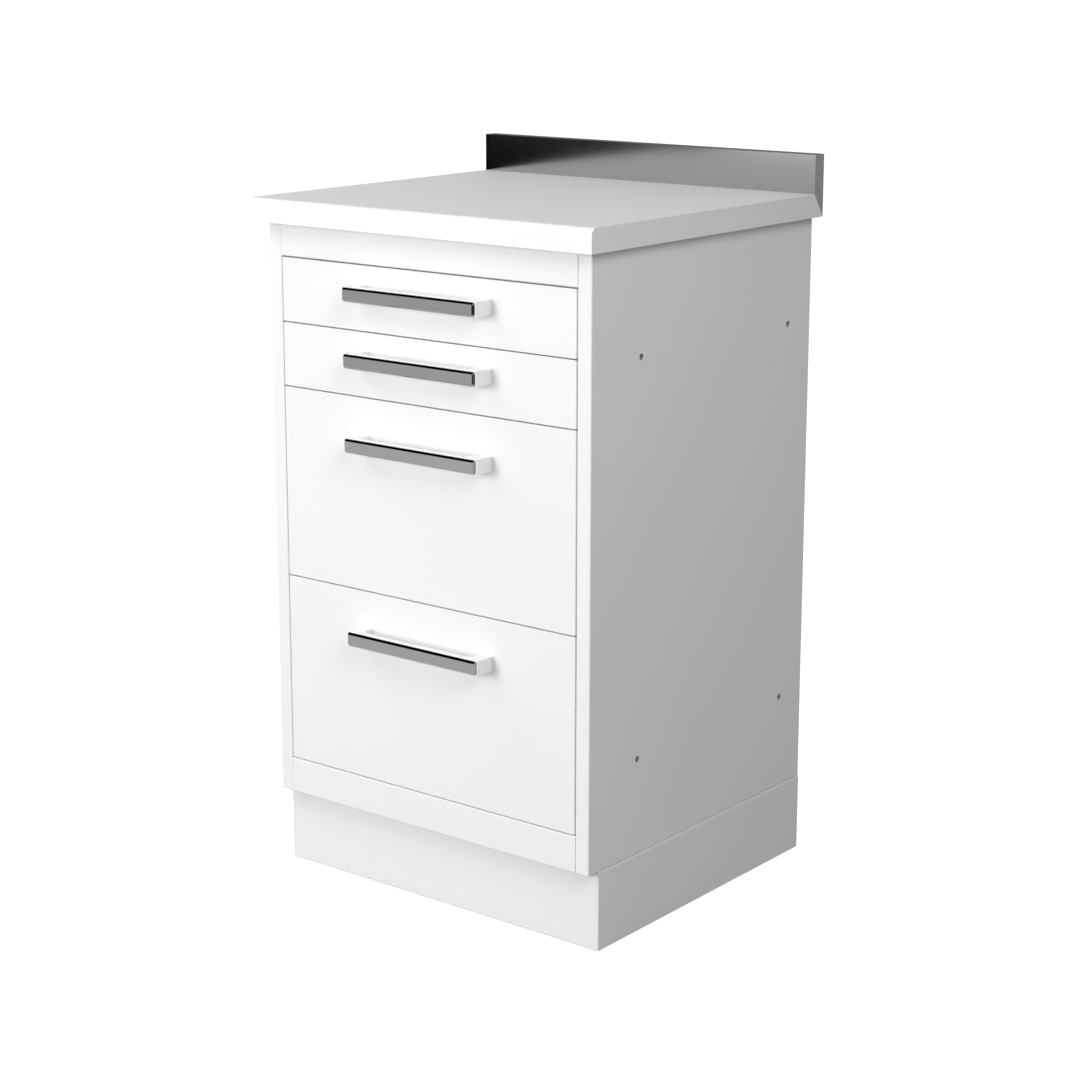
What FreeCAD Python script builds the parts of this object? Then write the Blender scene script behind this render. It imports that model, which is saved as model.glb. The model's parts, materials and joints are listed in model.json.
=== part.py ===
import FreeCAD, Part
import os
import re
import Sketcher

# Dental cabinet: a base unit of folded sheet steel on a plinth, with a worktop and four drawers.
# X runs along the front, Y to the back and Z up; the origin is under the middle of the whole cabinet.

# Driving dimensions, in millimetres
SIZES = {
    # Carcass
    "carcass_width": 500.0,
    "carcass_depth": 458.8,
    "carcass_sheet": 1.2,
    "bend_radius": 0.8,
    "stile_width": 20.0,
    "stile_return": 16.0,
    "rear_flange": 14.0,
    "panel_flange": 16.0,
    "panel_flange_setback": 26.0,
    "weld_gap": 0.3,
    # Linking holes in the sides
    "link_hole_radius": 4.0,
    "link_hole_past_front_upright": 7.0,
    "link_hole_past_rear_upright": 10.0,
    "link_hole_above_base": 121.0,
    "link_hole_below_top": 131.0,
    "link_bush_wall": 1.2,
    "link_bush_length": 9.0,
    # Rails
    "top_rail_height": 42.25,
    "bottom_rail_height": 46.25,
    "rail_depth": 24.0,
    "rail_lip": 8.0,
    "rail_seam": 0.1,
    "rear_rail_depth": 34.0,
    "rear_rail_height": 40.0,
    "floor_upturn": 15.0,
    # Plinth
    "plinth_height": 101.0,
    "plinth_recess": 20.0,
    "plinth_flange": 18.0,
    "plinth_bend_radius": 1.2,
    "plinth_sheet": 1.5,
    "wall_standoff": 1.2,
    # Levelling feet and their corner brackets
    "foot_radius": 14.0,
    "foot_height": 7.0,
    "foot_chamfer": 1.5,
    "foot_stem_radius": 4.0,
    "foot_stem_height": 52.0,
    "foot_stem_clearance": 0.4,
    "foot_margin": 2.0,
    "foot_bracket_margin": 14.0,
    "foot_bracket_height": 32.0,
    "foot_bracket_sheet": 2.5,
    "foot_bracket_lift": 16.0,
    "foot_nut_radius": 7.5,
    "foot_nut_height": 6.0,
    # Worktop and upstand
    "worktop_thickness": 29.0,
    "worktop_side_overhang": 14.5,
    "worktop_front_overhang": 20.0,
    "worktop_edge_radius": 8.0,
    "upstand_thickness": 20.0,
    "upstand_height": 49.0,
    "upstand_sheet": 0.8,
    "worktop_screw_radius": 2.5,
    "worktop_screw_bite": 16.0,
    "worktop_screw_head_radius": 4.5,
    "worktop_screw_head_height": 2.6,
    "worktop_screw_from_front": 70.0,
    "worktop_screw_clearance": 0.1,
    # Rivets of the back panel
    "rivet_radius": 2.0,
    "rivet_head_radius": 4.0,
    "rivet_head_height": 0.9,
    "rivet_tail_radius": 3.0,
    "rivet_tail_height": 2.5,
    "rivet_from_end": 40.0,
    "rivet_rows": 6.0,
    # Drawer fronts
    "front_gap": 1.5,
    "small_pitch": 81.0,
    "large_pitch": 244.0,
    "front_depth": 20.0,
    "front_sheet": 1.0,
    "front_corner_radius": 2.0,
    "front_edge_radius": 0.7,
    "liner_gap": 0.3,
    "liner_flange": 12.0,
    # Drawer trays
    "tray_length": 412.0,
    "tray_sheet": 1.0,
    "tray_lift": 9.15,
    "small_tray_drop": 13.1,
    "large_tray_drop": 39.1,
    "tray_corner_radius": 3.0,
    "hem_height": 6.0,
    "hem_thickness": 1.0,
    # Handles
    "handle_hole_spacing": 192.0,
    "handle_height": 19.0,
    "handle_reach": 27.8,
    "handle_bar_thickness": 8.0,
    "handle_post_width": 18.0,
    "handle_outer_radius": 2.4,
    "handle_inner_radius": 7.0,
    "handle_edge_radius": 0.7,
    "strip_end_margin": 2.2,
    "strip_edge_margin": 1.25,
    "strip_seat_depth": 1.2,
    "strip_thickness": 4.2,
    "strip_corner_radius": 2.6,
    "strip_bevel": 2.2,
    "strip_clearance": 0.5,
    "small_handle_drop": 32.6,
    "large_handle_drop": 55.6,
    # Handle screws
    "handle_screw_radius": 2.0,
    "handle_screw_hole_radius": 2.3,
    "handle_screw_bite": 12.0,
    "handle_screw_head_radius": 4.0,
    "handle_screw_head_height": 2.4,
    "handle_screw_clearance": 0.1,
    # Telescopic runners
    "runner_length": 400.0,
    "runner_setback": 24.0,
    "runner_thickness": 12.7,
    "runner_height": 45.0,
    "runner_sheet": 1.2,
    "runner_bend_radius": 0.4,
    "runner_lift": 27.0,
    "runner_web_clearance": 0.5,
    "race_height": 3.4,
    "runner_lip": 3.2,
    "runner_catch": 2.4,
    "runner_hole_from_front": 35.0,
    "runner_hole_from_back": 56.0,
    "runner_window_length": 60.0,
    "runner_window_height": 9.0,
    "runner_window_radius": 3.0,
    # Runner uprights
    "upright_face_width": 36.0,
    "upright_foot": 12.0,
    "upright_gap": 1.0,
    "upright_end_gap": 4.0,
    # Runner screws, countersunk into the cabinet members
    "runner_screw_radius": 2.0,
    "runner_screw_length": 8.0,
    "runner_screw_head_radius": 3.3,
    "runner_screw_clearance": 0.1,
    # Length by which a cut runs past what it cuts
    "overrun": 2.0,
}

# Drawers from the top down: pitch, and drop of the tray's rim and of the handle below the gap over the drawer
DRAWERS = (
    ("small_pitch", "small_tray_drop", "small_handle_drop"),
    ("small_pitch", "small_tray_drop", "small_handle_drop"),
    ("large_pitch", "large_tray_drop", "large_handle_drop"),
    ("large_pitch", "large_tray_drop", "large_handle_drop"),
)

# Places of the windows along a middle member, as shares of its length
WINDOW_SHARES = (0.3, 0.7)

# Angle of a countersink, in degrees
RIGHT_ANGLE = 90

# Sizes that follow from the driving dimensions
DERIVED = {
    "half_width": "carcass_width / 2",
    "carcass_height": "bottom_rail_height + top_rail_height + front_gap + 2 * small_pitch + 2 * large_pitch",
    "carcass_top": "plinth_height + carcass_height",
    "back_face": "carcass_depth - carcass_sheet",
    "unit_back": "carcass_depth + wall_standoff",
    "side_inside": "half_width - carcass_sheet",
    "stile_edge": "half_width - stile_width",
    "rail_end": "stile_edge - rail_seam",
    "fold_radius": "carcass_sheet + bend_radius",
    "worktop_top": "carcass_top + worktop_thickness",
    "half_worktop": "half_width + worktop_side_overhang",
    "upstand_face": "unit_back - upstand_thickness",
    "top_rail_bottom": "carcass_top - top_rail_height",
    "top_line": "top_rail_bottom - front_gap / 2",
    "bottom_rail_top": "plinth_height + bottom_rail_height",
    "floor_level": "plinth_height + carcass_sheet",
    "foot_inset": "plinth_flange + foot_margin + foot_radius",
    "bracket_wall": "plinth_sheet + weld_gap",
    "bracket_reach": "foot_inset + foot_bracket_margin",
    "half_front": "stile_edge - front_gap",
    "upright_face": "stile_edge - upright_gap",
    "tray_side": "upright_face - runner_thickness",
    "runner_half": "runner_height / 2",
    "middle_half": "runner_half - runner_sheet - race_height",
    "inner_half": "middle_half - runner_sheet - race_height",
    "outer_mouth": "runner_thickness - 2 * runner_web_clearance",
    "middle_web": "runner_sheet + runner_web_clearance",
    "inner_tip": "middle_web + runner_sheet + runner_web_clearance",
    "runner_back": "runner_setback + runner_length",
    "front_screw_row": "runner_setback + runner_hole_from_front",
    "back_screw_row": "runner_back - runner_hole_from_back",
    "upright_half": "upright_face_width / 2 + upright_foot",
    "front_link_row": "front_screw_row + upright_half + link_hole_past_front_upright",
    "back_link_row": "back_screw_row + upright_half + link_hole_past_rear_upright",
    "tray_back": "front_depth + tray_length",
    "tray_base": "front_gap / 2 + tray_lift",
    "handle_length": "handle_hole_spacing + handle_post_width",
    "strip_length": "handle_length - 2 * strip_end_margin",
    "strip_height": "handle_height - 2 * strip_edge_margin",
    "strip_face": "handle_reach + strip_thickness - strip_seat_depth",
    "origin_back": "(unit_back - strip_face) / 2",
}


def formula(text):
    """Write the named sizes in text out as the sheet's cells."""
    def cell(match):
        word = match.group()
        if word in DERIVED:
            return "(" + formula(DERIVED[word]) + ")"
        return "Sizes." + word if word in SIZES else word
    return re.sub(r"[a-z_]\w*", cell, text)


def value(text):
    """Work a formula out to a number."""
    return float(sheet.evalExpression(formula(text)))


def origin_part(body, role):
    return next(part for part in body.Origin.OriginFeatures if part.Role == role)


def new_body(label):
    """Start a piece; the origin of the cabinet's own coordinates lies behind the front face."""
    body = doc.addObject("PartDesign::Body", label)
    body.Label = label
    body.setExpression("Placement.Base.y", formula("-origin_back"))
    return body


def lift(body, height):
    body.setExpression("Placement.Base.z", formula(height))


# Sketch planes, and the way that each one's normal points along its axis
PLANES = {"XY": ("XY_Plane", 1), "XZ": ("XZ_Plane", -1), "YZ": ("YZ_Plane", 1)}


def new_sketch(body, name, plane, at="0"):
    """A sketch on one of the body's own planes, moved along that plane's axis."""
    role, sense = PLANES[plane]
    sketch = body.newObject("Sketcher::SketchObject", name)
    sketch.AttachmentSupport = [(origin_part(body, role), "")]
    sketch.MapMode = "FlatFace"
    sketch.setExpression("AttachmentOffset.Base.z", formula(f"{sense} * ({at})"))
    return sketch


def fix_point(sketch, geometry, end, point):
    """Tie one end or centre of a line or arc to the sheet."""
    for kind, text in zip(("DistanceX", "DistanceY"), point):
        index = sketch.addConstraint(Sketcher.Constraint(kind, -1, 1, geometry, end, value(text)))
        sketch.setExpression(f"Constraints[{index}]", formula(text))


def sign(number):
    return (number > 1e-9) - (number < -1e-9)


def trace(sketch, corners):
    """Closed outline through corners (x, y), or (x, y, radius) where a square corner is rounded."""
    count = len(corners)
    places = [(value(corner[0]), value(corner[1])) for corner in corners]
    starts, ends = [], []
    for index, corner in enumerate(corners):
        here = places[index]
        before = places[index - 1]
        after = places[(index + 1) % count]
        point = (corner[0], corner[1])
        if len(corner) == 2:
            starts.append(point)
            ends.append(point)
            continue
        came = [sign(here[axis] - before[axis]) for axis in (0, 1)]
        goes = [sign(after[axis] - here[axis]) for axis in (0, 1)]
        ends.append(tuple(f"({point[axis]}) - {came[axis]} * ({corner[2]})" for axis in (0, 1)))
        starts.append(tuple(f"({point[axis]}) + {goes[axis]} * ({corner[2]})" for axis in (0, 1)))
    first_line = {}
    for index in range(count):
        start = starts[index]
        end = ends[(index + 1) % count]
        a, b = [FreeCAD.Vector(value(p[0]), value(p[1]), 0) for p in (start, end)]
        line = sketch.addGeometry(Part.LineSegment(a, b), False)
        first_line[index] = line
        fix_point(sketch, line, 1, start)
    for index, corner in enumerate(corners):
        line_in = first_line[(index - 1) % count]
        line_out = first_line[index]
        if len(corner) == 2:
            sketch.addConstraint(Sketcher.Constraint("Coincident", line_in, 2, line_out, 1))
            continue
        add_corner_arc(sketch, corner, places, index, line_in, line_out, ends[index])


def add_corner_arc(sketch, corner, places, index, line_in, line_out, end):
    """Round one corner with an arc that meets both lines."""
    here = places[index]
    before = places[index - 1]
    after = places[(index + 1) % len(places)]
    radius = value(corner[2])
    came = FreeCAD.Vector(*[sign(here[axis] - before[axis]) for axis in (0, 1)], 0)
    goes = FreeCAD.Vector(*[sign(after[axis] - here[axis]) for axis in (0, 1)], 0)
    tip = FreeCAD.Vector(here[0], here[1], 0)
    centre = tip - came * radius + goes * radius
    middle = centre + (tip - centre).normalize() * radius
    arc = sketch.addGeometry(Part.Arc(tip - came * radius, middle, tip + goes * radius), False)
    turns_left = came.x * goes.y - came.y * goes.x > 0
    first, last = (1, 2) if turns_left else (2, 1)
    fix_point(sketch, line_in, 2, end)
    sketch.addConstraint([
        Sketcher.Constraint("Coincident", line_in, 2, arc, first),
        Sketcher.Constraint("Coincident", arc, last, line_out, 1),
    ])
    index = sketch.addConstraint(Sketcher.Constraint("Radius", arc, radius))
    sketch.setExpression(f"Constraints[{index}]", formula(corner[2]))


def rectangle(left, low, right, high):
    return [(left, low), (right, low), (right, high), (left, high)]


def shifted(text, steps, amount):
    return text if not steps else f"({text}) + {steps} * ({amount})"


def folded_strip(path, sheet_name, radius_name, side):
    """Outline of a strip of sheet folded along path, with its thickness on the left (1) or right (-1)."""
    places = [(value(x), value(y)) for x, y in path]
    ways = [(sign(b[0] - a[0]), sign(b[1] - a[1])) for a, b in zip(places, places[1:])]
    normals = [(-side * way[1], side * way[0]) for way in ways]
    outline, inner = [], []
    for index, (x, y) in enumerate(path):
        at_end = index in (0, len(path) - 1)
        near = normals[max(index - 1, 0)]
        far = normals[min(index, len(normals) - 1)]
        if at_end:
            step = near if index else far
            outline.append((x, y))
            inner.append((shifted(x, step[0], sheet_name), shifted(y, step[1], sheet_name)))
            continue
        step = (near[0] + far[0], near[1] + far[1])
        way_in, way_out = ways[index - 1], ways[index]
        towards = side * (way_in[0] * way_out[1] - way_in[1] * way_out[0]) > 0
        wide = f"{radius_name} + {sheet_name}"
        outline.append((x, y, wide if towards else radius_name))
        inner.append((shifted(x, step[0], sheet_name), shifted(y, step[1], sheet_name),
                      radius_name if towards else wide))
    return outline + inner[::-1]


def extrude(body, name, plane, corners, low, high):
    """Pad an outline between two places along its plane's axis."""
    sketch = new_sketch(body, name + "_outline", plane, low)
    trace(sketch, corners)
    pad = body.newObject("PartDesign::Pad", name)
    pad.Profile = sketch
    pad.Reversed = PLANES[plane][1] < 0
    pad.setExpression("Length", formula(f"({high}) - ({low})"))
    sketch.Visibility = False
    return pad


def cut_away(body, name, sketch, plane, low, high):
    """Pocket a sketch from low to high along its plane's axis and check that it cuts."""
    before = body.Tip.Shape.Volume
    pocket = body.newObject("PartDesign::Pocket", name)
    pocket.Profile = sketch
    pocket.Reversed = PLANES[plane][1] > 0
    pocket.setExpression("Length", formula(f"({high}) - ({low})"))
    doc.recompute()
    if not pocket.Shape.Volume < before:
        raise RuntimeError(name + " cuts nothing")
    return pocket


def cut_outline(body, name, plane, corners, low, high):
    doc.recompute()
    sketch = new_sketch(body, name + "_outline", plane, low)
    trace(sketch, corners)
    return cut_away(body, name, sketch, plane, low, high)


def cut_holes(body, name, plane, centres, radius, low, high):
    """Round holes of one radius through a wall."""
    doc.recompute()
    sketch = new_sketch(body, name + "_outline", plane, low)
    for centre in centres:
        place = FreeCAD.Vector(value(centre[0]), value(centre[1]), 0)
        circle = sketch.addGeometry(Part.Circle(place, FreeCAD.Vector(0, 0, 1), value(radius)), False)
        fix_point(sketch, circle, 3, centre)
        index = sketch.addConstraint(Sketcher.Constraint("Radius", circle, value(radius)))
        sketch.setExpression(f"Constraints[{index}]", formula(radius))
    return cut_away(body, name, sketch, plane, low, high)


def revolve(body, name, plane, corners, at="0", along_h="0", along_v="0", axis="V_Axis"):
    """Revolve an outline, drawn from its own axis, about that axis of the moved sketch."""
    sketch = new_sketch(body, name + "_outline", plane, at)
    sketch.setExpression("AttachmentOffset.Base.x", formula(along_h))
    sketch.setExpression("AttachmentOffset.Base.y", formula(along_v))
    trace(sketch, corners)
    revolution = body.newObject("PartDesign::Revolution", name)
    revolution.Profile = sketch
    revolution.ReferenceAxis = (sketch, [axis])
    return revolution


def mirror_and_repeat(body, originals, axis, length, count):
    """Repeat features across X, and in a row along another axis."""
    repeat = body.newObject("PartDesign::MultiTransform", "copies")
    repeat.Originals = originals
    flip = doc.addObject("PartDesign::Mirrored", body.Label + "_flip")
    flip.MirrorPlane = (origin_part(body, "YZ_Plane"), [""])
    row = doc.addObject("PartDesign::LinearPattern", body.Label + "_row")
    row.Direction = (origin_part(body, axis), [""])
    row.setExpression("Length", formula(length))
    row.Occurrences = count
    repeat.Transformations = [flip, row]
    body.Tip = repeat
    return repeat


def mirror_across(body, name, originals, role):
    """Copy features to the other side of one of the body's planes."""
    mirrored = body.newObject("PartDesign::Mirrored", name)
    mirrored.Originals = originals
    mirrored.MirrorPlane = (origin_part(body, role), [""])
    body.Tip = mirrored
    return mirrored


def dress_edges(body, name, kind, measure, base, size, wanted):
    """Work the edges of base for which wanted(edge) is true."""
    doc.recompute()
    names = [f"Edge{number}" for number, edge in enumerate(base.Shape.Edges, 1) if wanted(edge)]
    dressed = body.newObject(f"PartDesign::{kind}", name)
    dressed.Base = (base, names)
    dressed.setExpression(measure, formula(size))
    return dressed


def round_edges(body, name, base, radius, wanted):
    return dress_edges(body, name, "Fillet", "Radius", base, radius, wanted)


def bevel_edges(body, name, base, size, wanted):
    return dress_edges(body, name, "Chamfer", "Size", base, size, wanted)


def lies_at(edge, axis, place):
    return all(abs(vertex.Point[axis] - place) < 1e-4 for vertex in edge.Vertexes)


def across(side, text):
    """Mirror an X formula for the left-hand (-1) piece."""
    return f"{side} * ({text})"


# Carcass

LINK_LEVELS = ("plinth_height + link_hole_above_base", "carcass_top - link_hole_below_top")


def make_side_panel(label, side):
    """Folded side whose front flange is the stile, with a return, a rear flange and two shelves."""
    body = new_body(label)
    path = [
        (across(side, "stile_edge"), "stile_return"),
        (across(side, "stile_edge"), "0"),
        (across(side, "half_width"), "0"),
        (across(side, "half_width"), "back_face"),
        (across(side, "half_width - rear_flange"), "back_face"),
    ]
    section = folded_strip(path, "carcass_sheet", "bend_radius", side)
    extrude(body, "wall", "XY", section, "plinth_height", "carcass_top")
    reach = [across(side, "half_width - panel_flange"), across(side, "side_inside")]
    ends = ("panel_flange_setback", "back_face - panel_flange_setback")
    flange = rectangle(reach[0], ends[0], reach[1], ends[1])
    extrude(body, "bottom_flange", "XY", flange, "plinth_height", "floor_level")
    extrude(body, "top_flange", "XY", flange, "carcass_top - carcass_sheet", "carcass_top")
    centres = [(along, up) for along in ("front_link_row", "back_link_row") for up in LINK_LEVELS]
    wall = ("side_inside - overrun", "half_width + overrun")
    if side < 0:
        wall = (f"-({wall[1]})", f"-({wall[0]})")
    cut_holes(body, "linking_holes", "YZ", centres, "link_hole_radius", *wall)
    screws = [(across(side, "half_width - panel_flange / 2"), along) for along in worktop_screw_rows()]
    cut_holes(body, "worktop_screw_holes", "XY", screws, "worktop_screw_radius + worktop_screw_clearance",
              "carcass_top - carcass_sheet - overrun", "carcass_top + overrun")
    rivets = [(across(side, rivet_column()), row) for row in rivet_rows()]
    cut_holes(body, "rivet_holes", "XZ", rivets, "rivet_radius",
              "back_face - carcass_sheet - overrun", "back_face + overrun")
    fold = [(across(side, f"half_width - ({step})"), up) for step, up in base_fold()]
    fold[-1] += ("fold_radius",)
    cut_outline(body, "base_fold", "XZ", fold, "-overrun", "back_face + overrun")
    fold = base_fold()
    fold[-1] += ("fold_radius",)
    front = ("stile_edge - overrun", "half_width + overrun")
    if side < 0:
        front = (f"-({front[1]})", f"-({front[0]})")
    cut_outline(body, "front_fold", "YZ", fold, *front)
    return body


def base_fold():
    """What a bend takes off the lower edge of a face; each step is measured inwards from the face."""
    past, above = "fold_radius + overrun", "plinth_height + fold_radius + overrun"
    below = "plinth_height - overrun"
    return [(past, "plinth_height"), (past, below), ("-overrun", below), ("-overrun", above),
            ("0", above), ("0", "plinth_height")]


def make_link_bushes():
    """Bushes behind the linking holes, which keep the side sheets from dishing under a screw."""
    body = new_body("linking_bushes")
    ring = rectangle("side_inside - link_bush_length", "link_hole_radius",
                     "side_inside", "link_hole_radius + link_bush_wall")
    bushes = [revolve(body, f"bush_{number}", "XY", ring, at=level, along_v="front_link_row",
                      axis="H_Axis") for number, level in enumerate(LINK_LEVELS, 1)]
    mirror_and_repeat(body, bushes, "Y_Axis", "back_link_row - front_link_row", 2)
    return body


def worktop_screw_rows():
    return ["worktop_screw_from_front", "carcass_depth - worktop_screw_from_front"]


def make_rail(label, low, high):
    """Front rail: a channel open to the back, with lips turned in."""
    body = new_body(label)
    path = [
        ("rail_depth", f"{low} + rail_lip"),
        ("rail_depth", low),
        ("0", low),
        ("0", high),
        ("rail_depth", high),
        ("rail_depth", f"{high} - rail_lip"),
    ]
    section = folded_strip(path, "carcass_sheet", "bend_radius", -1)
    extrude(body, "channel", "YZ", section, "-rail_end", "rail_end")
    return body


def make_rear_rail():
    """Angle at the top of the back that ties the sides under the worktop."""
    body = new_body("rear_rail")
    path = [
        ("back_face - rear_rail_depth", "carcass_top - rail_lip"),
        ("back_face - rear_rail_depth", "carcass_top - carcass_sheet - weld_gap"),
        ("back_face - carcass_sheet - weld_gap", "carcass_top - carcass_sheet - weld_gap"),
        ("back_face - carcass_sheet - weld_gap", "carcass_top - rear_rail_height"),
    ]
    section = folded_strip(path, "carcass_sheet", "bend_radius", -1)
    end = "half_width - rear_flange - weld_gap"
    extrude(body, "angle", "YZ", section, f"-({end})", end)
    return body


def make_back_panel():
    body = new_body("back_panel")
    outline = rectangle("weld_gap - half_width", "plinth_height", "half_width - weld_gap", "carcass_top")
    extrude(body, "sheet", "XZ", outline, "back_face", "carcass_depth")
    places = [(across(side, rivet_column()), row) for side in (-1, 1) for row in rivet_rows()]
    cut_holes(body, "rivet_holes", "XZ", places, "rivet_radius",
              "back_face - overrun", "carcass_depth + overrun")
    return body


def rivet_column():
    return "half_width - rear_flange / 2"


def rivet_span():
    return "carcass_height - 2 * rivet_from_end"


def rivet_rows():
    """Heights of the rivets up a rear flange."""
    count = int(value("rivet_rows"))
    step = f"({rivet_span()}) / (rivet_rows - 1)"
    return [f"plinth_height + rivet_from_end + {row} * {step}" for row in range(count)]


def make_rivets():
    """Pop rivets: a low head behind the back panel and a swollen tail inside."""
    body = new_body("back_panel_rivets")
    inside = "back_face - carcass_sheet"
    corners = [
        ("0", f"{inside} - rivet_tail_height"),
        ("rivet_tail_radius", f"{inside} - rivet_tail_height"),
        ("rivet_tail_radius", inside),
        ("rivet_radius", inside),
        ("rivet_radius", "carcass_depth"),
        ("rivet_head_radius", "carcass_depth"),
        ("rivet_head_radius", "carcass_depth + rivet_head_height"),
        ("0", "carcass_depth + rivet_head_height"),
    ]
    rivet = revolve(body, "rivet", "XY", corners, at=rivet_rows()[0], along_h=rivet_column())
    mirror_and_repeat(body, [rivet], "Z_Axis", rivet_span(), int(value("rivet_rows")))
    return body


def make_bottom_panel():
    """Floor sheet with upturned front and rear edges, resting on the sides' bottom flanges."""
    body = new_body("bottom_panel")
    front = "rail_depth + weld_gap"
    back = "back_face - carcass_sheet - weld_gap"
    path = [
        (front, "floor_level + floor_upturn"),
        (front, "floor_level"),
        (back, "floor_level"),
        (back, "floor_level + floor_upturn"),
    ]
    section = folded_strip(path, "carcass_sheet", "bend_radius", 1)
    extrude(body, "tray", "YZ", section, "weld_gap - side_inside", "side_inside - weld_gap")
    return body


def make_upright(label, side, screw_row):
    """Hat section that carries the runners out past the stile, with a hole at each runner."""
    body = new_body(label)
    front = f"{screw_row} - upright_face_width / 2"
    back = f"{screw_row} + upright_face_width / 2"
    path = [
        (across(side, "side_inside"), f"{front} - upright_foot"),
        (across(side, "side_inside"), front),
        (across(side, "upright_face + carcass_sheet"), front),
        (across(side, "upright_face + carcass_sheet"), back),
        (across(side, "side_inside"), back),
        (across(side, "side_inside"), f"{back} + upright_foot"),
    ]
    section = folded_strip(path, "carcass_sheet", "bend_radius", side)
    low = "floor_level + carcass_sheet + upright_end_gap"
    extrude(body, "hat", "XY", section, low, "carcass_top - carcass_sheet - upright_end_gap")
    heights = [runner_level(number) for number in range(len(DRAWERS))]
    wall = ["upright_face - overrun", "upright_face + carcass_sheet + overrun"]
    if side < 0:
        wall = [f"-({text})" for text in reversed(wall)]
    cut_holes(body, "runner_screw_holes", "YZ", [(screw_row, height) for height in heights],
              "runner_screw_radius + runner_screw_clearance", *wall)
    return body


# Plinth

def make_plinth_side(label, side):
    body = new_body(label)
    path = [
        (across(side, "half_width - plinth_flange"), "0"),
        (across(side, "half_width"), "0"),
        (across(side, "half_width"), "plinth_height"),
        (across(side, "half_width - plinth_flange"), "plinth_height"),
    ]
    section = folded_strip(path, "plinth_sheet", "plinth_bend_radius", side)
    extrude(body, "channel", "XZ", section, "plinth_recess", "unit_back")
    return body


def make_plinth_end(label, face, way):
    """Front or rear plinth sheet; its flanges stop short of those of the sides."""
    body = new_body(label)
    path = [
        (f"{face} + {way} * plinth_flange", "0"),
        (face, "0"),
        (face, "plinth_height"),
        (f"{face} + {way} * plinth_flange", "plinth_height"),
    ]
    section = folded_strip(path, "plinth_sheet", "plinth_bend_radius", -way)
    flange_end = "half_width - plinth_flange - weld_gap"
    extrude(body, "channel", "YZ", section, f"-({flange_end})", flange_end)
    inside = f"{face} + {way} * plinth_sheet"
    plate = rectangle(f"{flange_end} - plinth_sheet", "plinth_sheet + weld_gap",
                      "half_width - plinth_sheet - weld_gap", "plinth_height - plinth_sheet - weld_gap")
    corners = [(x, z, "plinth_bend_radius - weld_gap") for x, z in plate]
    end = extrude(body, "face_end", "XZ", corners, *((face, inside) if way > 0 else (inside, face)))
    mirror_across(body, "face_ends", [end], "YZ_Plane")
    return body


FOOT_COLUMN = "half_width - foot_inset"
FOOT_ROWS = ("plinth_recess + foot_inset", "unit_back - foot_inset")


def make_foot_brackets():
    """Shelves across the corners of the plinth, each folded down against the plinth's side."""
    body = new_body("plinth_corner_brackets")
    wall = "half_width - bracket_wall"
    top = "foot_bracket_lift + foot_bracket_height"
    path = [
        ("half_width - bracket_reach", top),
        (wall, top),
        (wall, "foot_bracket_lift"),
    ]
    section = folded_strip(path, "foot_bracket_sheet", "plinth_bend_radius", -1)
    spans = [("plinth_recess + bracket_wall", "plinth_recess + bracket_reach", FOOT_ROWS[0]),
             ("unit_back - bracket_reach", "unit_back - bracket_wall", FOOT_ROWS[1])]
    features = []
    for name, (near, far, row) in zip(("front", "rear"), spans):
        features.append(extrude(body, name + "_shelf", "XZ", section, near, far))
        stem_hole = [(FOOT_COLUMN, row)]
        features.append(cut_holes(body, name + "_stem_hole", "XY", stem_hole,
                                  "foot_stem_radius + foot_stem_clearance",
                                  f"{top} - foot_bracket_sheet - overrun", f"{top} + overrun"))
    mirror_across(body, "pairs", features, "YZ_Plane")
    return body


def make_feet():
    """Levelling feet: a chamfered pad, a stem through the bracket and a nut under the shelf."""
    body = new_body("levelling_feet")
    nut_top = "foot_bracket_lift + foot_bracket_height - foot_bracket_sheet"
    corners = [
        ("0", "0"),
        ("foot_radius - foot_chamfer", "0"),
        ("foot_radius", "foot_chamfer"),
        ("foot_radius", "foot_height - foot_chamfer"),
        ("foot_radius - foot_chamfer", "foot_height"),
        ("foot_stem_radius", "foot_height"),
        ("foot_stem_radius", f"{nut_top} - foot_nut_height"),
        ("foot_nut_radius", f"{nut_top} - foot_nut_height"),
        ("foot_nut_radius", nut_top),
        ("foot_stem_radius", nut_top),
        ("foot_stem_radius", "foot_stem_height"),
        ("0", "foot_stem_height"),
    ]
    foot = revolve(body, "foot", "XZ", corners, at=FOOT_ROWS[0], along_h=FOOT_COLUMN)
    mirror_and_repeat(body, [foot], "Y_Axis", f"({FOOT_ROWS[1]}) - ({FOOT_ROWS[0]})", 2)
    return body


# Worktop

def make_worktop():
    """Board with a rounded front top edge and a rear edge mitred for the upstand."""
    body = new_body("worktop")
    outline = [
        ("-worktop_front_overhang", "carcass_top"),
        ("-worktop_front_overhang", "worktop_top", "worktop_edge_radius"),
        ("upstand_face", "worktop_top"),
        ("unit_back", "carcass_top"),
    ]
    extrude(body, "board", "YZ", outline, "-half_worktop", "half_worktop")
    columns = ["panel_flange / 2 - half_width", "half_width - panel_flange / 2"]
    centres = [(column, row) for column in columns for row in worktop_screw_rows()]
    cut_holes(body, "pilot_holes", "XY", centres, "worktop_screw_radius + worktop_screw_clearance",
              "carcass_top - overrun", "carcass_top + worktop_screw_bite + worktop_screw_clearance")
    return body


def upstand_outline(skin):
    """The upstand's section, or that of its core inside a skin on the front and top."""
    mitre = f"worktop_top - ({skin}) * worktop_thickness / upstand_thickness"
    top = f"worktop_top + upstand_height - ({skin})"
    return [
        (f"upstand_face + {skin}", mitre),
        ("unit_back", "carcass_top"),
        ("unit_back", top),
        (f"upstand_face + {skin}", top),
    ]


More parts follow.
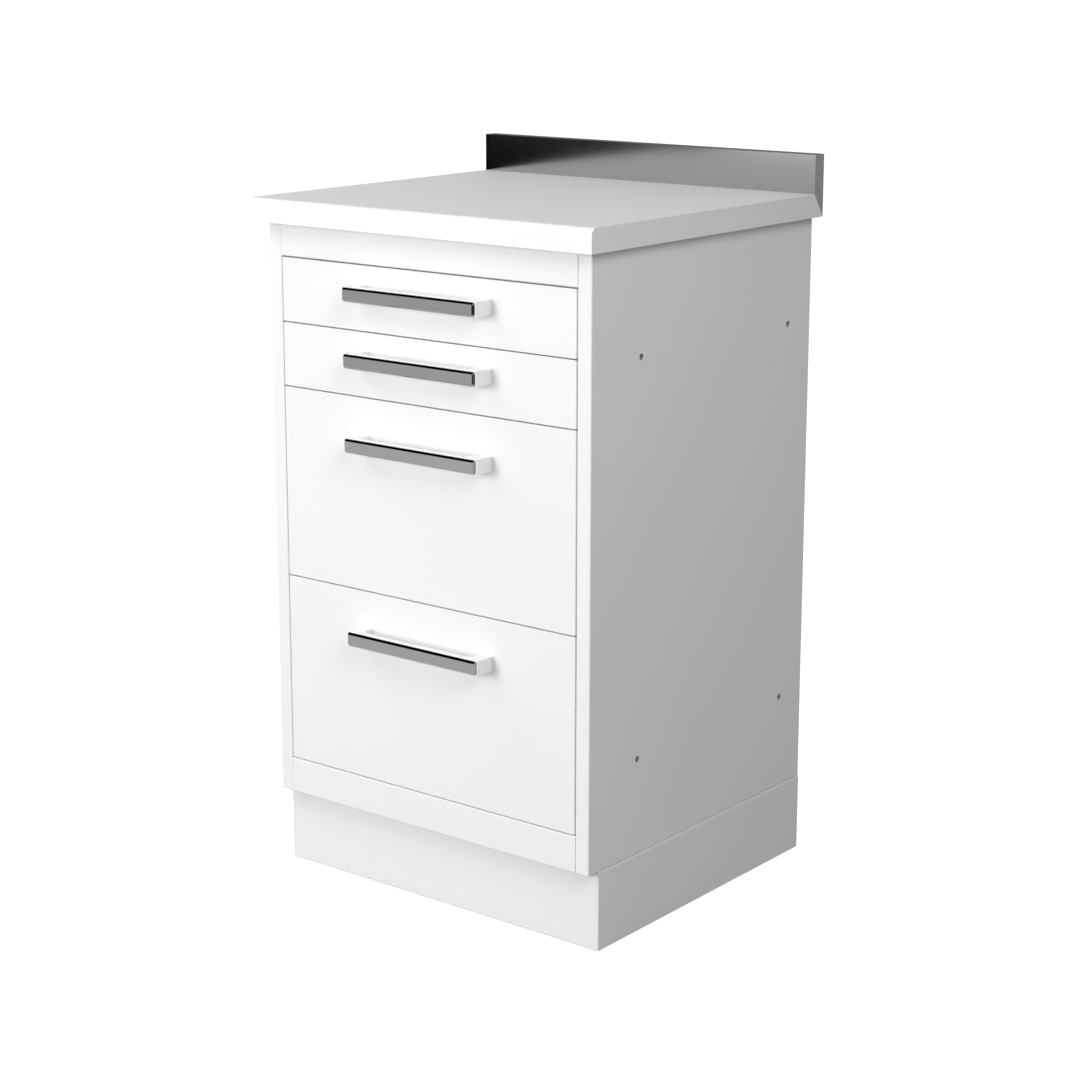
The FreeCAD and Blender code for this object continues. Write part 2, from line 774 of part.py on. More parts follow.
def make_upstand_core():
    """Board that rises behind the worktop and meets it in a mitre."""
    body = new_body("upstand_core")
    end = "half_worktop - upstand_sheet"
    extrude(body, "board", "YZ", upstand_outline("upstand_sheet"), f"-({end})", end)
    return body


def make_upstand_facing():
    """Metal sheet folded over the front, top and ends of the core."""
    body = new_body("upstand_facing")
    extrude(body, "block", "YZ", upstand_outline("0"), "-half_worktop", "half_worktop")
    end = "half_worktop - upstand_sheet"
    cut_outline(body, "hollow", "YZ", upstand_outline("upstand_sheet"), f"-({end})", end)
    return body


def make_worktop_screws():
    """Screws up through the sides' top flanges into the board."""
    body = new_body("worktop_screws")
    rows = worktop_screw_rows()
    seat = "carcass_top - carcass_sheet"
    corners = [
        ("0", f"{seat} - worktop_screw_head_height"),
        ("worktop_screw_head_radius", f"{seat} - worktop_screw_head_height"),
        ("worktop_screw_head_radius", seat),
        ("worktop_screw_radius", seat),
        ("worktop_screw_radius", "carcass_top + worktop_screw_bite"),
        ("0", "carcass_top + worktop_screw_bite"),
    ]
    screw = revolve(body, "screw", "XZ", corners, at=rows[0], along_h="half_width - panel_flange / 2")
    mirror_and_repeat(body, [screw], "Y_Axis", f"({rows[1]}) - ({rows[0]})", 2)
    return body


# Drawers: the height of each is measured from the middle of the gap under its front

def drawer_level(number):
    pitches = " - ".join(pitch for pitch, tray_drop, handle_drop in DRAWERS[:number + 1])
    return f"top_line - {pitches}"


def runner_level(number):
    return f"{drawer_level(number)} + tray_base + runner_lift"


def handle_level(number):
    pitch, tray_drop, handle_drop = DRAWERS[number]
    return f"{drawer_level(number)} + {pitch} - {handle_drop}"


def handle_screw_places(number):
    """Screw centres of a drawer's handle, in the drawer's own height."""
    pitch, tray_drop, handle_drop = DRAWERS[number]
    return [(f"{side} * handle_hole_spacing / 2", f"{pitch} - {handle_drop}") for side in (-1, 1)]


def front_outline(number, inset, radius=None):
    pitch = DRAWERS[number][0]
    half = f"half_front - ({inset})"
    corners = rectangle(f"-({half})", f"front_gap / 2 + {inset}",
                        half, f"{pitch} - front_gap / 2 - ({inset})")
    return [(x, y, radius) for x, y in corners] if radius else corners


def make_front_skin(number):
    """Outer pan of a drawer front: rounded corners and edges, open to the back."""
    body = new_body(f"drawer_{number + 1}_front_skin")
    lift(body, drawer_level(number))
    outline = front_outline(number, "0", "front_corner_radius")
    block = extrude(body, "block", "XZ", outline, "0", "front_depth")
    round_edges(body, "front_edges", block, "front_edge_radius", lambda edge: lies_at(edge, 1, 0))
    cut_outline(body, "hollow", "XZ", front_outline(number, "front_sheet"),
                "front_sheet", "front_depth + overrun")
    cut_holes(body, "screw_holes", "XZ", handle_screw_places(number), "handle_screw_hole_radius",
              "-overrun", "front_sheet + overrun")
    return body


def make_front_liner(number):
    """Inner pan that closes a drawer front from behind."""
    body = new_body(f"drawer_{number + 1}_front_liner")
    lift(body, drawer_level(number))
    extrude(body, "block", "XZ", front_outline(number, "front_sheet + liner_gap"),
            "front_depth - liner_flange", "front_depth")
    cut_outline(body, "hollow", "XZ", front_outline(number, "2 * front_sheet + liner_gap"),
                "front_depth - liner_flange - overrun", "front_depth - front_sheet")
    cut_holes(body, "screw_holes", "XZ", handle_screw_places(number), "handle_screw_hole_radius",
              "front_depth - front_sheet - overrun", "front_depth + overrun")
    return body


def make_tray(number):
    """Open tray of thin sheet, hemmed round its sides and back."""
    body = new_body(f"drawer_{number + 1}_tray")
    lift(body, drawer_level(number))
    pitch, tray_drop, handle_drop = DRAWERS[number]
    top = f"{pitch} - {tray_drop}"

    def plan(grow, radius):
        half = f"tray_side + {grow}"
        front = f"front_depth - {grow}"
        corners = rectangle(f"-({half})", front, half, f"tray_back + {grow}")
        return [(x, y, radius) for x, y in corners]

    extrude(body, "block", "XY", plan("0", "tray_corner_radius"), "tray_base", top)
    hem = plan("hem_thickness", "tray_corner_radius")
    hem[0] = (hem[0][0], "front_depth")
    hem[1] = (hem[1][0], "front_depth")
    extrude(body, "hem", "XY", hem, f"{top} - hem_height", top)
    cut_outline(body, "inside", "XY", plan("(-tray_sheet)", "tray_corner_radius - tray_sheet"),
                "tray_base + tray_sheet", f"{top} + overrun")
    cut_holes(body, "screw_holes", "XZ", handle_screw_places(number), "handle_screw_hole_radius",
              "front_depth - overrun", "front_depth + tray_sheet + overrun")
    return body


def make_handle(number):
    """Bow handle: two posts and a bar in one, with a seat for the strip and blind screw holes."""
    body = new_body(f"drawer_{number + 1}_handle")
    lift(body, handle_level(number))
    half, post = "handle_length / 2", "handle_length / 2 - handle_post_width"
    inside = "handle_bar_thickness - handle_reach"
    plan = [
        (f"-({half})", "0"),
        (f"-({half})", "-handle_reach", "handle_outer_radius"),
        (half, "-handle_reach", "handle_outer_radius"),
        (half, "0"),
        (post, "0"),
        (post, inside, "handle_inner_radius"),
        (f"-({post})", inside, "handle_inner_radius"),
        (f"-({post})", "0"),
    ]
    bow = extrude(body, "bow", "XY", plan, "-handle_height / 2", "handle_height / 2")
    top = value("handle_height / 2")
    round_edges(body, "bow_edges", bow, "handle_edge_radius",
                lambda edge: (lies_at(edge, 2, top) or lies_at(edge, 2, -top)) and not lies_at(edge, 1, 0))
    seat = strip_outline("strip_clearance")
    cut_outline(body, "strip_seat", "XZ", seat, "-handle_reach - overrun", "strip_seat_depth - handle_reach")
    centres = [(f"{side} * handle_hole_spacing / 2", "0") for side in (-1, 1)]
    cut_holes(body, "screw_holes", "XZ", centres, "handle_screw_radius + handle_screw_clearance",
              "-handle_screw_bite - handle_screw_clearance", "overrun")
    return body


def strip_outline(grow):
    half, high = f"strip_length / 2 + {grow}", f"strip_height / 2 + {grow}"
    corners = rectangle(f"-({half})", f"-({high})", half, high)
    return [(x, y, f"strip_corner_radius + {grow}") for x, y in corners]


def make_handle_strip(number):
    """Bright strip let into the front of the bar, with its front edges bevelled."""
    body = new_body(f"drawer_{number + 1}_handle_strip")
    lift(body, handle_level(number))
    strip = extrude(body, "strip", "XZ", strip_outline("0"), "-strip_face", "strip_seat_depth - handle_reach")
    front = -value("strip_face")
    bevel_edges(body, "strip_edges", strip, "strip_bevel", lambda edge: lies_at(edge, 1, front))
    return body


def make_handle_screws(number):
    """Pan-head screws from inside the tray, through the front, into the handle's posts."""
    body = new_body(f"drawer_{number + 1}_handle_screws")
    lift(body, handle_level(number))
    seat = "front_depth + tray_sheet"
    corners = [
        ("0", "-handle_screw_bite"),
        ("handle_screw_radius", "-handle_screw_bite"),
        ("handle_screw_radius", seat),
        ("handle_screw_head_radius", seat),
        ("handle_screw_head_radius", f"{seat} + handle_screw_head_height"),
        ("0", f"{seat} + handle_screw_head_height"),
    ]
    screw = revolve(body, "screw", "XY", corners, along_h="handle_hole_spacing / 2")
    mirror_across(body, "pair", [screw], "YZ_Plane")
    return body


# Runners: three channels, one inside the other; heights are measured from the runner's middle

def from_upright(depth):
    """X of a place at some depth from the upright's face, on the right-hand side."""
    return f"upright_face - ({depth})"


def lipped_channel(web, mouth, half, lip):
    return [
        (from_upright(mouth), f"-({half} - {lip})"),
        (from_upright(mouth), f"-({half})"),
        (from_upright(web), f"-({half})"),
        (from_upright(web), half),
        (from_upright(mouth), half),
        (from_upright(mouth), f"{half} - {lip}"),
    ]


def start_runner(number, member):
    body = new_body(f"drawer_{number + 1}_runner_{member}")
    lift(body, runner_level(number))
    return body


def make_runner_outer(number):
    """Cabinet members: lipped channels with countersunk holes in the web."""
    body = start_runner(number, "outer")
    path = lipped_channel("0", "outer_mouth", "runner_half", "runner_lip")
    section = folded_strip(path, "runner_sheet", "runner_bend_radius", 1)
    channel = extrude(body, "channel", "XZ", section, "runner_setback", "runner_back")
    doc.recompute()
    centres = [("front_screw_row", "0"), ("back_screw_row", "0")]
    sinks = cut_countersinks(body, centres)
    mirror_across(body, "pair", [channel, sinks], "YZ_Plane")
    return body


def cut_countersinks(body, centres):
    """Countersunk holes through the web, widest on its open side."""
    sketch = new_sketch(body, "sink_outline", "YZ", from_upright("runner_sheet"))
    radius = "runner_screw_head_radius - runner_sheet + runner_screw_clearance"
    for centre in centres:
        place = FreeCAD.Vector(value(centre[0]), value(centre[1]), 0)
        circle = sketch.addGeometry(Part.Circle(place, FreeCAD.Vector(0, 0, 1), value(radius)), False)
        fix_point(sketch, circle, 3, centre)
        index = sketch.addConstraint(Sketcher.Constraint("Radius", circle, value(radius)))
        sketch.setExpression(f"Constraints[{index}]", formula(radius))
    before = body.Tip.Shape.Volume
    hole = body.newObject("PartDesign::Hole", "sinks")
    hole.Profile = sketch
    doc.recompute()
    hole.DepthType = "Dimension"
    hole.HoleCutType = "Countersink"
    hole.HoleCutCountersinkAngle = RIGHT_ANGLE
    hole.Reversed = True
    hole.setExpression("Diameter", formula(f"2 * ({radius})"))
    hole.setExpression("Depth", formula("runner_sheet + overrun"))
    hole.setExpression("HoleCutDiameter", formula("2 * (runner_screw_head_radius + runner_screw_clearance)"))
    doc.recompute()
    if not hole.Shape.Volume < before:
        raise RuntimeError("the countersinks cut nothing")
    return hole


def make_runner_middle(number):
    """Middle members: smaller lipped channels with windows in the web."""
    body = start_runner(number, "middle")
    path = lipped_channel("middle_web", "outer_mouth", "middle_half", "runner_lip")
    section = folded_strip(path, "runner_sheet", "runner_bend_radius", 1)
    channel = extrude(body, "channel", "XZ", section, "runner_setback", "runner_back")
    doc.recompute()
    features = [channel]
    for index, share in enumerate(WINDOW_SHARES):
        middle = f"runner_setback + runner_length * {share}"
        corners = rectangle(f"{middle} - runner_window_length / 2", "-runner_window_height / 2",
                            f"{middle} + runner_window_length / 2", "runner_window_height / 2")
        window = [(x, y, "runner_window_radius") for x, y in corners]
        features.append(cut_outline(body, f"window_{index + 1}", "YZ", window,
                                    from_upright("middle_web + runner_sheet + overrun"),
                                    from_upright("middle_web - overrun")))
    mirror_across(body, "pair", features, "YZ_Plane")
    return body


def make_runner_inner(number):
    """Drawer members: channels open to the cabinet, whose lips catch behind those of the middle ones."""
    body = start_runner(number, "inner")
    tip = from_upright("inner_tip + runner_sheet")
    web = from_upright("runner_thickness")
    path = [
        (tip, "-(inner_half + runner_catch)"),
        (tip, "-inner_half"),
        (web, "-inner_half"),
        (web, "inner_half"),
        (tip, "inner_half"),
        (tip, "inner_half + runner_catch"),
    ]
    section = folded_strip(path, "runner_sheet", "runner_bend_radius", -1)
    channel = extrude(body, "channel", "XZ", section, "runner_setback", "runner_back")
    mirror_across(body, "pair", [channel], "YZ_Plane")
    return body


def make_runner_screws():
    """Countersunk screws that hold the cabinet members to the uprights."""
    body = new_body("runner_screws")
    bottom = "runner_screw_head_radius - runner_sheet"
    corners = [
        (from_upright("runner_sheet"), "0"),
        (from_upright("runner_sheet"), "runner_screw_head_radius"),
        ("upright_face", bottom),
        ("upright_face", "runner_screw_radius"),
        (from_upright("runner_sheet - runner_screw_length"), "runner_screw_radius"),
        (from_upright("runner_sheet - runner_screw_length"), "0"),
    ]
    screws = [revolve(body, f"screw_{number + 1}", "XY", corners, at=runner_level(number),
                      along_v="front_screw_row", axis="H_Axis") for number in range(len(DRAWERS))]
    mirror_and_repeat(body, screws, "Y_Axis", "back_screw_row - front_screw_row", 2)
    return body


# Make every piece, check it and write it

doc = FreeCAD.newDocument("DentalCabinet")
sheet = doc.addObject("Spreadsheet::Sheet", "Sizes")
for row, (name, size) in enumerate(SIZES.items(), 1):
    sheet.set(f"A{row}", name)
    sheet.set(f"B{row}", str(size))
    sheet.setAlias(f"B{row}", name)
doc.recompute()

pieces = [
    make_side_panel("side_panel_left", -1),
    make_side_panel("side_panel_right", 1),
    make_link_bushes(),
    make_rail("top_rail", "top_rail_bottom", "carcass_top"),
    make_rail("bottom_rail", "plinth_height", "bottom_rail_top"),
    make_rear_rail(),
    make_back_panel(),
    make_rivets(),
    make_bottom_panel(),
    make_upright("upright_front_left", -1, "front_screw_row"),
    make_upright("upright_front_right", 1, "front_screw_row"),
    make_upright("upright_rear_left", -1, "back_screw_row"),
    make_upright("upright_rear_right", 1, "back_screw_row"),
    make_plinth_side("plinth_side_left", -1),
    make_plinth_side("plinth_side_right", 1),
    make_plinth_end("plinth_front", "plinth_recess", 1),
    make_plinth_end("plinth_rear", "unit_back", -1),
    make_foot_brackets(),
    make_feet(),
    make_worktop(),
    make_upstand_core(),
    make_upstand_facing(),
    make_worktop_screws(),
    make_runner_screws(),
]
for number in range(len(DRAWERS)):
    for make in (make_front_skin, make_front_liner, make_tray, make_handle, make_handle_strip,
                 make_handle_screws, make_runner_outer, make_runner_middle, make_runner_inner):
        pieces.append(make(number))
doc.recompute()

for item in doc.Objects:
    if "Invalid" in item.State or "Error" in item.State:
        raise RuntimeError(item.Label + " failed: " + str(item.State))
os.makedirs("parts", exist_ok=True)
for piece in pieces:
    if piece.Shape.isNull() or not piece.Shape.isValid() or not piece.Shape.Solids:
        raise RuntimeError(piece.Label + " has no valid shape")
    piece.Shape.exportStep("parts/" + piece.Label + ".step")
    box = piece.Shape.BoundBox
    print(f"{piece.Label}: {len(piece.Shape.Solids)} solids, {piece.Shape.Volume / 1000:.1f} cm3, "
          f"X {box.XMin:.1f} to {box.XMax:.1f}, Y {box.YMin:.1f} to {box.YMax:.1f}, "
          f"Z {box.ZMin:.1f} to {box.ZMax:.1f}")
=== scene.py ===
"""Dental base cabinet: finishes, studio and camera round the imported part.

Metres, in the part's own frame: X to the right along the front, Y to the back, Z up.
"""

import json
import math

import bpy
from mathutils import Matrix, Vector

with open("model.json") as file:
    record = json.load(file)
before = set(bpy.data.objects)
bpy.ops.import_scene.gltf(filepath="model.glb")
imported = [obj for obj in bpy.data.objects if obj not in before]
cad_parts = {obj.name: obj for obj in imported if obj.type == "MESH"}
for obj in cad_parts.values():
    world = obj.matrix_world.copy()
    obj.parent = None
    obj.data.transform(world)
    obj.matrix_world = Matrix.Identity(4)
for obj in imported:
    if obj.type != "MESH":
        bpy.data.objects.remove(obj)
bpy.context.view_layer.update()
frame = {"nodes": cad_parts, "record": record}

# Colours of the finishes, linear; a finish wanders between its colour and its shade
PAINT = (0.905, 0.905, 0.91)
PAINT_SHADE = (0.89, 0.89, 0.895)
# Painted shade for the side walls of the gaps between the fronts: darker and warmer than the paint
PAINTED_GAP_SHADE = (0.89, 0.85, 0.80)
LAMINATE = (0.925, 0.925, 0.925)
LAMINATE_SHADE = (0.91, 0.91, 0.91)
CHIP_PALE = (0.62, 0.47, 0.30)
CHIP_BROWN = (0.36, 0.24, 0.13)
BOARD_DUST = (0.52, 0.40, 0.26)
STAINLESS = (0.545, 0.54, 0.53)
STAINLESS_SHADE = (0.515, 0.51, 0.50)
STRIP = (0.285, 0.281, 0.285)
STRIP_SHADE = (0.262, 0.258, 0.262)
HANDLE = (0.90, 0.90, 0.91)
HANDLE_SHADE = (0.885, 0.885, 0.89)
ZINC = (0.68, 0.69, 0.70)
ZINC_SHADE = (0.56, 0.575, 0.59)
PASSIVATED = (0.60, 0.53, 0.45)
PASSIVATED_SHADE = (0.47, 0.40, 0.32)
FOOT = (0.045, 0.045, 0.047)
FOOT_SHADE = (0.028, 0.028, 0.03)

# Stretch of a noise, which draws it out along X
BRUSHED = (0.03, 1, 1)
ROLLED = (0.2, 1, 1)

# Studio: light that falls from all round, and the floor
AMBIENT = 0.28
FLOOR_SIZE = 80.0
FLOOR_TONE = (0.25, 0.25, 0.25)

# Square lamps: place, side and watts; all of them face the same point
LAMP_TARGET = (0, 0, 0.5)
LAMPS = {
    "key": ((-1.0, -3.6, 1.15), 1.6, 78.0),
    "side": ((1.8, -1.25, 1.9), 1.0, 20.0),
    "top_left": ((-1.4, -0.5, 2.1), 1.0, 9.5),
    "top_front": ((-1.2, -2.2, 2.5), 1.4, 12.0),
}

# Black box beside and over the worktop on the left: the dark end of the upstand and the strips' top bevels
DARK_LEFT = -1.8
DARK_FRONT = -1.6
DARK_FOOT = 0.865
DARK_TOP = 2.6

# The photograph's camera, its turns in degrees
CAMERA_PLACE = (1.86652, -2.36229, 1.18106)
CAMERA_YAW = 38.4939
CAMERA_PITCH = -12.8353
CAMERA_ROLL = 0.0066
CAMERA_LENS = 80.89
CAMERA_SENSOR = 36.0
CAMERA_SHIFT = (0.01148, -0.04556)


class Finish:
    """A material round one Principled shader, in the coordinates of the object that wears it."""

    def __init__(self, name):
        self.material = bpy.data.materials.new(name)
        self.material.use_nodes = True
        self.tree = self.material.node_tree
        self.shader = self.tree.nodes["Principled BSDF"]
        place = self.add("ShaderNodeTexCoord")
        self.place = place.outputs["Object"]
        self.normal = place.outputs["Normal"]

    def add(self, kind, **settings):
        node = self.tree.nodes.new(kind)
        for name, setting in settings.items():
            setattr(node, name, setting)
        return node

    def link(self, output, target):
        self.tree.links.new(output, target)

    def set(self, **sockets):
        """Give the shader's own sockets constants; an underscore stands for a space."""
        for name, number in sockets.items():
            self.shader.inputs[name.replace("_", " ")].default_value = number

    def noise(self, scale, detail=2.0, stretch=(1, 1, 1)):
        """Noise whose scale is in features per metre."""
        mapping = self.add("ShaderNodeMapping")
        mapping.inputs["Scale"].default_value = stretch
        self.link(self.place, mapping.inputs["Vector"])
        noise = self.add("ShaderNodeTexNoise")
        noise.inputs["Scale"].default_value = scale
        noise.inputs["Detail"].default_value = detail
        self.link(mapping.outputs["Vector"], noise.inputs["Vector"])
        return noise.outputs["Fac"]

    def cells(self, scale):
        """Chips or spangles: two random numbers for each cell, and the distance from its middle."""
        cells = self.add("ShaderNodeTexVoronoi")
        cells.inputs["Scale"].default_value = scale
        self.link(self.place, cells.inputs["Vector"])
        split = self.add("ShaderNodeSeparateColor")
        self.link(cells.outputs["Color"], split.inputs["Color"])
        return split.outputs["Red"], split.outputs["Green"], cells.outputs["Distance"]

    def spread(self, fac, low, high, start=0.3, end=0.7):
        """Bring fac's range from start to end to the range from low to high."""
        spread = self.add("ShaderNodeMapRange")
        for name, number in (("From Min", start), ("From Max", end), ("To Min", low), ("To Max", high)):
            spread.inputs[name].default_value = number
        self.link(fac, spread.inputs["Value"])
        return spread.outputs["Result"]

    def blend(self, fac, first, second):
        """Mix two colours, each given as a colour or as a socket."""
        mix = self.add("ShaderNodeMix", data_type="RGBA")
        self.link(fac, mix.inputs["Factor"])
        for name, colour in (("A", first), ("B", second)):
            socket = next(s for s in mix.inputs if s.name == name and s.type == "RGBA")
            if isinstance(colour, bpy.types.NodeSocket):
                self.link(colour, socket)
            else:
                socket.default_value = (*colour, 1.0)
        return next(s for s in mix.outputs if s.type == "RGBA")

    def colour(self, socket):
        self.link(socket, self.shader.inputs["Base Color"])

    def roughness(self, socket):
        self.link(socket, self.shader.inputs["Roughness"])

    def bump(self, height, depth):
        """Raise the surface by up to depth metres where height is 1."""
        bump = self.add("ShaderNodeBump")
        bump.inputs["Distance"].default_value = depth
        self.link(height, bump.inputs["Height"])
        self.link(bump.outputs["Normal"], self.shader.inputs["Normal"])


def powder_coat(name, painted_gap_shade=False):
    """Fine textured powder coat; when asked, faces that look away from the front get a painted shade,
    darker and warmer, standing in for the shade in the gaps between the fronts.
    """
    finish = Finish(name)
    tone = finish.blend(finish.noise(7.0, detail=3.0), PAINT_SHADE, PAINT)
    # Painted shade: faces that look sideways, the walls of the gaps, are darkened and warmed
    if painted_gap_shade:
        split = finish.add("ShaderNodeSeparateXYZ")
        finish.link(finish.normal, split.inputs["Vector"])
        frontal = finish.add("ShaderNodeMath", operation="ABSOLUTE")
        finish.link(split.outputs["Y"], frontal.inputs[0])
        gap_shade_mask = finish.spread(frontal.outputs["Value"], 1.0, 0.0, start=0.1, end=0.5)
        tone = finish.blend(gap_shade_mask, tone, PAINTED_GAP_SHADE)
    finish.colour(tone)
    finish.roughness(finish.spread(finish.noise(260.0), 0.40, 0.50))
    finish.bump(finish.noise(900.0, detail=3.0), depth=0.00003)
    return finish.material


def laminate():
    """White high-pressure laminate with a fine pearl texture."""
    finish = Finish("laminate")
    finish.colour(finish.blend(finish.noise(9.0, detail=4.0), LAMINATE_SHADE, LAMINATE))
    finish.roughness(finish.spread(finish.noise(500.0, detail=3.0), 0.42, 0.54))
    finish.bump(finish.noise(1500.0), depth=0.00003)
    return finish.material


def chipboard():
    """Raw board: pale and brown chips pressed together."""
    finish = Finish("chipboard")
    tint, sheen, edge = finish.cells(420.0)
    chips = finish.blend(tint, CHIP_BROWN, CHIP_PALE)
    finish.colour(finish.blend(finish.noise(60.0, detail=4.0), chips, BOARD_DUST))
    finish.roughness(finish.spread(sheen, 0.75, 0.9, start=0.0, end=1.0))
    finish.bump(edge, depth=0.0002)
    return finish.material


def brushed_facing():
    """Satin stainless sheet with a fine grain along its length."""
    finish = Finish("stainless_facing")
    finish.set(Metallic=1.0)
    grain = finish.noise(2600.0, detail=3.0, stretch=BRUSHED)
    finish.colour(finish.blend(grain, STAINLESS_SHADE, STAINLESS))
    finish.roughness(finish.spread(grain, 0.11, 0.15))
    finish.bump(finish.noise(1400.0), depth=0.000002)
    return finish.material


def strip_chrome():
    """Dark bright-plated strip, drawn along its length."""
    finish = Finish("handle_strip")
    finish.set(Metallic=1.0)
    grain = finish.noise(900.0, detail=3.0, stretch=BRUSHED)
    finish.colour(finish.blend(grain, STRIP_SHADE, STRIP))
    finish.roughness(finish.spread(finish.noise(120.0), 0.08, 0.13))
    finish.bump(grain, depth=0.0000015)
    return finish.material


def handle_white():
    """White moulded handle, satin, with a faint flow of tone."""
    finish = Finish("handle_white")
    finish.set(Coat_Weight=0.25, Coat_Roughness=0.2)
    finish.colour(finish.blend(finish.noise(30.0, detail=3.0), HANDLE_SHADE, HANDLE))
    finish.roughness(finish.spread(finish.noise(400.0), 0.30, 0.40))
    finish.bump(finish.noise(1800.0), depth=0.000008)
    return finish.material


def zinc():
    """Bright zinc plating with a faint spangle."""
    finish = Finish("zinc_plated")
    finish.set(Metallic=1.0)
    tint, _, _ = finish.cells(320.0)
    finish.colour(finish.blend(tint, ZINC_SHADE, ZINC))
    finish.roughness(finish.spread(finish.noise(180.0, detail=4.0), 0.26, 0.42))
    finish.bump(finish.noise(500.0, detail=4.0, stretch=ROLLED), depth=0.00001)
    return finish.material


def passivated():
    """Yellow-passivated steel, dull and mottled."""
    finish = Finish("passivated_steel")
    finish.set(Metallic=0.4)
    finish.colour(finish.blend(finish.noise(900.0, detail=4.0), PASSIVATED_SHADE, PASSIVATED))
    finish.roughness(finish.spread(finish.noise(1200.0, detail=3.0), 0.45, 0.6))
    finish.bump(finish.noise(2000.0), depth=0.00001)
    return finish.material


def foot_black():
    """Black moulded plastic with a fine grain."""
    finish = Finish("foot_black")
    finish.colour(finish.blend(finish.noise(120.0, detail=3.0), FOOT_SHADE, FOOT))
    finish.roughness(finish.spread(finish.noise(600.0), 0.5, 0.65))
    finish.bump(finish.noise(2200.0), depth=0.00004)
    return finish.material


FINISHES = {
    "carcass_white": powder_coat("carcass_white"),
    "plinth_white": powder_coat("plinth_white"),
    "drawer_inner_white": powder_coat("drawer_inner_white"),
    "front_white": powder_coat("front_white", painted_gap_shade=True),
    "laminate": laminate(),
    "board": chipboard(),
    "stainless_facing": brushed_facing(),
    "handle_white": handle_white(),
    "handle_strip": strip_chrome(),
    "zinc_plated": zinc(),
    "passivated_steel": passivated(),
    "foot_black": foot_black(),
}
for part in frame["record"]["subparts"]:
    node = frame["nodes"][part["node"]]
    for slot in node.material_slots:
        slot.material = FINISHES[part["material_slot"]]


# Studio

def shown_white(tree):
    """Value of 1 for the rays that show the studio, and of 0 for the light that it throws on the part."""
    path = tree.nodes.new("ShaderNodeLightPath")
    total = path.outputs["Is Camera Ray"]
    for kind in ("Is Glossy Ray", "Is Transmission Ray"):
        either = tree.nodes.new("ShaderNodeMath")
        either.operation = "MAXIMUM"
        tree.links.new(total, either.inputs[0])
        tree.links.new(path.outputs[kind], either.inputs[1])
        total = either.outputs["Value"]
    return total


def bare_material(name):
    """Material whose tree holds nothing but its output."""
    material = bpy.data.materials.new(name)
    material.use_nodes = True
    material.node_tree.nodes.remove(material.node_tree.nodes["Principled BSDF"])
    return material


def build_world():
    """White to the camera and in reflections, and a soft even light for everything else."""
    world = bpy.data.worlds.new("studio")
    bpy.context.scene.world = world
    world.use_nodes = True
    tree = world.node_tree
    background = tree.nodes["Background"]
    level = tree.nodes.new("ShaderNodeMapRange")
    level.inputs["To Min"].default_value = AMBIENT
    level.inputs["To Max"].default_value = 1.0
    tree.links.new(shown_white(tree), level.inputs["Value"])
    background.inputs["Color"].default_value = (1, 1, 1, 1)
    tree.links.new(level.outputs["Result"], background.inputs["Strength"])


def build_floor():
    """Pale floor that reads as white but keeps a trace of the shadow."""
    bpy.ops.mesh.primitive_plane_add(size=FLOOR_SIZE, location=(0, 0, 0))
    floor = bpy.context.object
    floor.name = "studio_floor"
    material = bare_material("studio_floor")
    tree = material.node_tree
    diffuse = tree.nodes.new("ShaderNodeBsdfDiffuse")
    diffuse.inputs["Color"].default_value = (*FLOOR_TONE, 1)
    emission = tree.nodes.new("ShaderNodeEmission")
    tree.links.new(shown_white(tree), emission.inputs["Strength"])
    both = tree.nodes.new("ShaderNodeAddShader")
    tree.links.new(diffuse.outputs[0], both.inputs[0])
    tree.links.new(emission.outputs[0], both.inputs[1])
    tree.links.new(both.outputs[0], tree.nodes["Material Output"].inputs["Surface"])
    floor.data.materials.append(material)


def add_lamp(name, place, side, power):
    """Square soft box, without a highlight of its own in gloss."""
    data = bpy.data.lights.new(name, "AREA")
    data.shape = "SQUARE"
    data.size = side
    data.energy = power
    lamp = bpy.data.objects.new(name, data)
    bpy.context.scene.collection.objects.link(lamp)
    lamp.location = place
    lamp.rotation_euler = (Vector(LAMP_TARGET) - Vector(place)).to_track_quat("-Z", "Y").to_euler()
    lamp.visible_glossy = False


def lying(corners, height):
    """Corners of a level card, from the X and Y of each."""
    return [(x, y, height) for x, y in corners]


def standing(start, end, foot, top):
    """Corners of an upright card over the line from start to end."""
    return [(*start, foot), (*end, foot), (*end, top), (*start, top)]


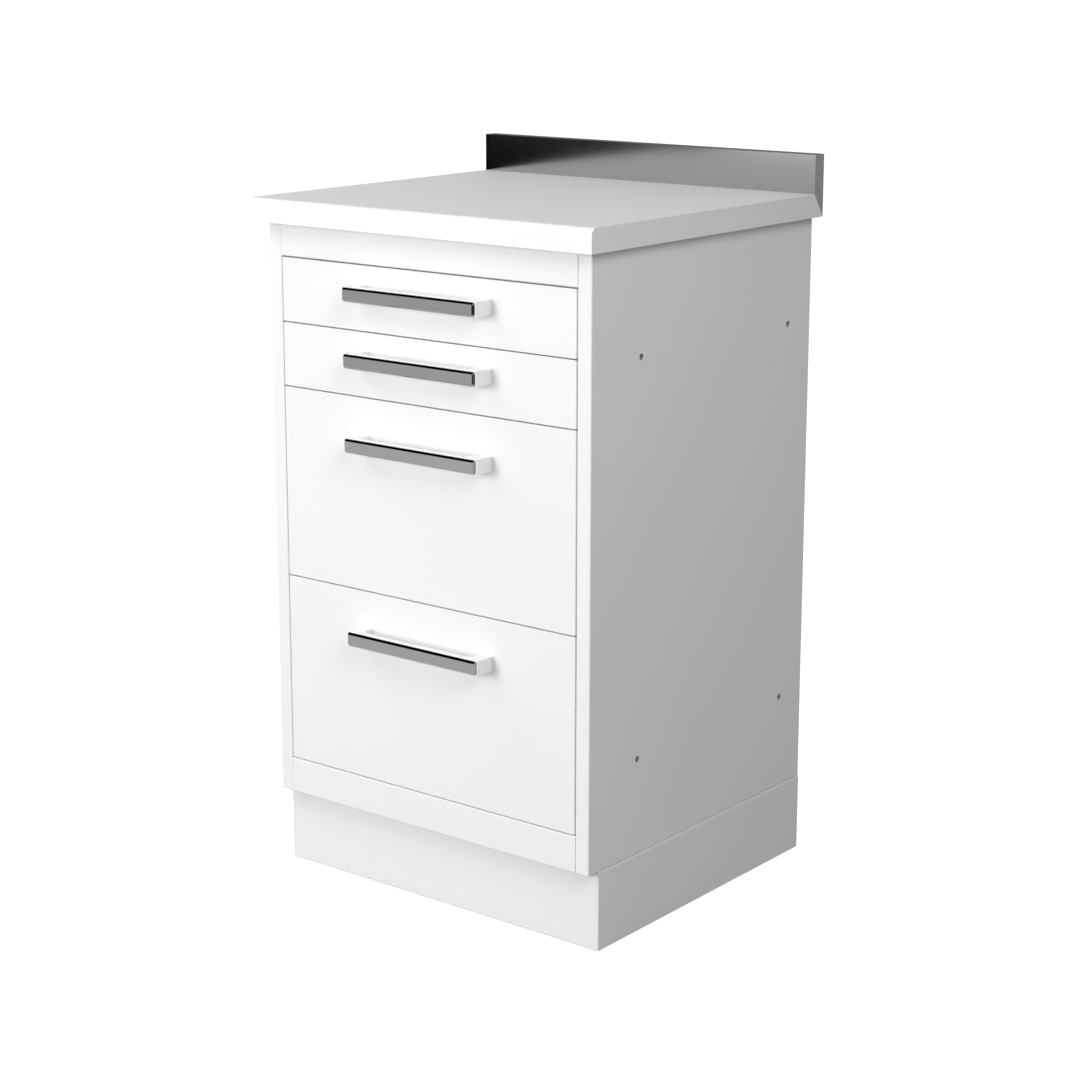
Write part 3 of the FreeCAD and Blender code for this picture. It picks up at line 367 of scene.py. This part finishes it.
def add_card(name, corners, tone=0.0):
    """Card of an even tone that only reflections see; it is black by itself."""
    mesh = bpy.data.meshes.new(name)
    mesh.from_pydata(corners, [], [range(len(corners))])
    card = bpy.data.objects.new(name, mesh)
    bpy.context.scene.collection.objects.link(card)
    material = bare_material(name)
    tree = material.node_tree
    emission = tree.nodes.new("ShaderNodeEmission")
    emission.inputs["Strength"].default_value = tone
    tree.links.new(emission.outputs[0], tree.nodes["Material Output"].inputs["Surface"])
    mesh.materials.append(material)
    card.visible_camera = False
    card.visible_diffuse = False
    card.visible_transmission = False
    card.visible_shadow = False


build_world()
build_floor()
for name, (place, side, power) in LAMPS.items():
    add_lamp(name, place, side, power)

# The black box: its floor just under the worktop's top, its left wall and its lid
corner = (DARK_LEFT, DARK_FRONT)
add_card("card_left", lying([corner, (-0.27, DARK_FRONT), (-0.27, 0.5), (DARK_LEFT, 0.5)], DARK_FOOT))
add_card("card_left_wall", standing(corner, (DARK_LEFT, 0.5), DARK_FOOT, DARK_TOP))
add_card("card_over", lying([corner, (DARK_LEFT, 1.0), (0.6, 1.0), (0.6, DARK_FRONT)], DARK_TOP))

# Black on the floor at the right: the dark end of the uppermost strip
add_card("card_floor_right", lying([(1.46, -3.75), (3.82, -0.79), (7.8, -3.95), (5.4, -6.9)], 0.003))

# Grey: far at the front left for the middle of the upstand, and at the back left for the worktop's sheen
add_card("card_front_left", standing((-4.6, -1.6), (-0.8, -4.4), 0.95, 4.2), 0.3)
add_card("card_back_left", standing((-3.2, 1.2), (0.3, 1.2), 0.93, 2.4), 0.45)

# Grey: close behind the upstand for its top edge, and beyond its right end
add_card("card_behind", standing((-0.35, 0.27), (0.27, 0.27), 0.92, 0.97), 0.15)
add_card("card_right", standing((0.30, 0.40), (0.50, 0.40), 0.80, 0.95), 0.35)

# Camera
camera_data = bpy.data.cameras.new("camera")
camera_data.lens = CAMERA_LENS
camera_data.sensor_width = CAMERA_SENSOR
camera_data.shift_x, camera_data.shift_y = CAMERA_SHIFT
camera = bpy.data.objects.new("camera", camera_data)
bpy.context.scene.collection.objects.link(camera)
camera.location = CAMERA_PLACE
camera.rotation_euler = [math.radians(turn) for turn in (90 + CAMERA_PITCH, CAMERA_ROLL, CAMERA_YAW)]
bpy.context.scene.camera = camera

bpy.context.scene.view_settings.view_transform = "Standard"
